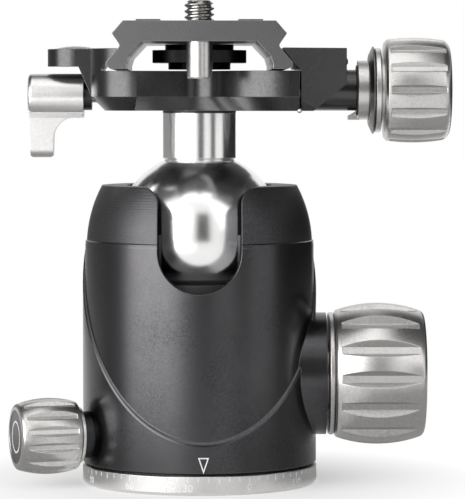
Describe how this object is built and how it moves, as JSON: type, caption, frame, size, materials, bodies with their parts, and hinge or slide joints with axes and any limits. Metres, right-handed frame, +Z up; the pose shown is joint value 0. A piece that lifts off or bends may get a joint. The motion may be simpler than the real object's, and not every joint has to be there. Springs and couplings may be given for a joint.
{
  "type": "tripod ball head",
  "caption": "Ball head with panning base, drop notches, lock and pan knobs, panning screw clamp with lever and level, and a dovetail quick-release plate",
  "frame": {"origin": "centre of the mouth of the tripod thread, in the underside of the pan base", "axes": "+Z up along the thread and stem, +X towards the main lock knob, -Y front"},
  "size_m": [0.0939, 0.06, 0.1028],
  "materials": {
    "silver": "satin anodised",
    "black_anodised": "fine bead-blasted dark anodised",
    "grey_anodised": "bead-blasted grey anodised",
    "plate_grey": "bead-blasted light grey anodised",
    "polished": "polished",
    "steel": "turned",
    "black_steel": "black oxide",
    "brass": "turned",
    "polymer": "moulded",
    "liner": "moulded",
    "pad": "moulded",
    "vial": "clear",
    "liquid": "clear green"
  },
  "bodies": {
    "base": {"base_plate": "silver", "pan_glide": "polymer", "pan_journal": "steel", "tripod_bushing": "steel", "base_screws": "black_steel", "pan_nut": "steel"},
    "housing": {"housing": "black_anodised", "chamber_floor": "steel", "lock_bush": "brass", "pan_bush": "black_steel"},
    "cup": {"ball_cup": "polymer"},
    "wedge": {"lock_wedge": "brass"},
    "lock_knob": {"lock_screw": "steel", "lock_ring": "silver", "lock_knob": "silver", "lock_cap": "silver"},
    "pan_shoe": {"brake_shoe": "brass"},
    "pan_knob": {"pan_screw": "steel", "pan_ring": "silver", "pan_knob": "silver", "pan_cap": "grey_anodised"},
    "liner": {"ball_liner": "liner"},
    "ball": {"ball_stem": "polished", "stem_washer": "polymer", "clamp_washer": "steel", "clamp_bolt": "black_steel"},
    "clamp": {"clamp_body": "grey_anodised", "draw_bolt": "steel", "guide_pins": "steel", "level_vial": "vial", "level_liquid": "liquid", "brake_plug": "brass", "jaw_springs": "steel"},
    "lever": {"lever_screw": "steel", "lever_collar": "black_steel", "lever": "silver"},
    "jaw": {"moving_jaw": "grey_anodised", "jaw_button": "black_steel", "screw_washer": "polymer", "safety_collar": "silver"},
    "clamp_knob": {"dark_ring": "black_anodised", "light_ring": "silver", "clamp_knob": "silver"},
    "plate": {"plate": "plate_grey", "grip_pads": "pad", "front_pin": "silver", "rear_pin": "silver"},
    "camera_screw": {"camera_stud": "steel", "screw_head": "black_steel", "d_ring": "black_steel"}
  },
  "joints": [
    {"name": "pan", "type": "hinge", "parent": "base", "child": "housing", "pos_m": [0, 0, 0.004], "axis": [0, 0, 1], "continuous": true},
    {"name": "wedge_slide", "type": "slide", "parent": "housing", "child": "wedge", "axis": [1, 0, 0], "range_m": [0, 0.001]},
    {"name": "cup_drop", "type": "slide", "parent": "housing", "child": "cup", "axis": [0, 0, 1], "range_m": [-0.0002, 0]},
    {"name": "lock_turn", "type": "hinge", "parent": "wedge", "child": "lock_knob", "pos_m": [0, 0, 0.0231], "axis": [1, 0, 0], "range_deg": [0, 360]},
    {"name": "shoe_slide", "type": "slide", "parent": "housing", "child": "pan_shoe", "axis": [-0.9563, -0.2924, 0], "range_m": [0, 0.001]},
    {"name": "pan_lock_turn", "type": "hinge", "parent": "pan_shoe", "child": "pan_knob", "pos_m": [0, 0, 0.0108], "axis": [-0.9563, -0.2924, 0], "range_deg": [0, 360]},
    {"name": "ball_roll", "type": "hinge", "parent": "housing", "child": "liner", "pos_m": [0, 0, 0.0525], "axis": [0, 1, 0], "range_deg": [-28, 28]},
    {"name": "ball_pitch", "type": "hinge", "parent": "liner", "child": "ball", "pos_m": [0, 0, 0.0525], "axis": [1, 0, 0], "range_deg": [-90, 90]},
    {"name": "clamp_pan", "type": "hinge", "parent": "ball", "child": "clamp", "pos_m": [0, 0, 0.08], "axis": [0, 0, -1], "continuous": true},
    {"name": "lever_turn", "type": "hinge", "parent": "clamp", "child": "lever", "pos_m": [0, 0, 0.0825], "axis": [1, 0, 0], "range_deg": [-95, 0]},
    {"name": "jaw_slide", "type": "slide", "parent": "clamp", "child": "jaw", "axis": [1, 0, 0], "range_m": [0, 0.005]},
    {"name": "clamp_turn", "type": "hinge", "parent": "jaw", "child": "clamp_knob", "pos_m": [0, 0, 0.0837], "axis": [1, 0, 0], "range_deg": [0, 1440]},
    {"name": "plate_slide", "type": "slide", "parent": "clamp", "child": "plate", "axis": [0, 1, 0], "range_m": [-0.006, 0.006]},
    {"name": "camera_screw_turn", "type": "hinge", "parent": "plate", "child": "camera_screw", "pos_m": [0, 0, 0.095], "axis": [0, 0, 1], "continuous": true}
  ],
  "couplings": [
    {"joint": "lock_turn", "follows": "wedge_slide", "rad_per_m": 6283.2},
    {"joint": "cup_drop", "follows": "wedge_slide", "ratio": -0.158},
    {"joint": "pan_lock_turn", "follows": "shoe_slide", "rad_per_m": 6283.2},
    {"joint": "clamp_turn", "follows": "jaw_slide", "rad_per_m": 5026.5}
  ]
}
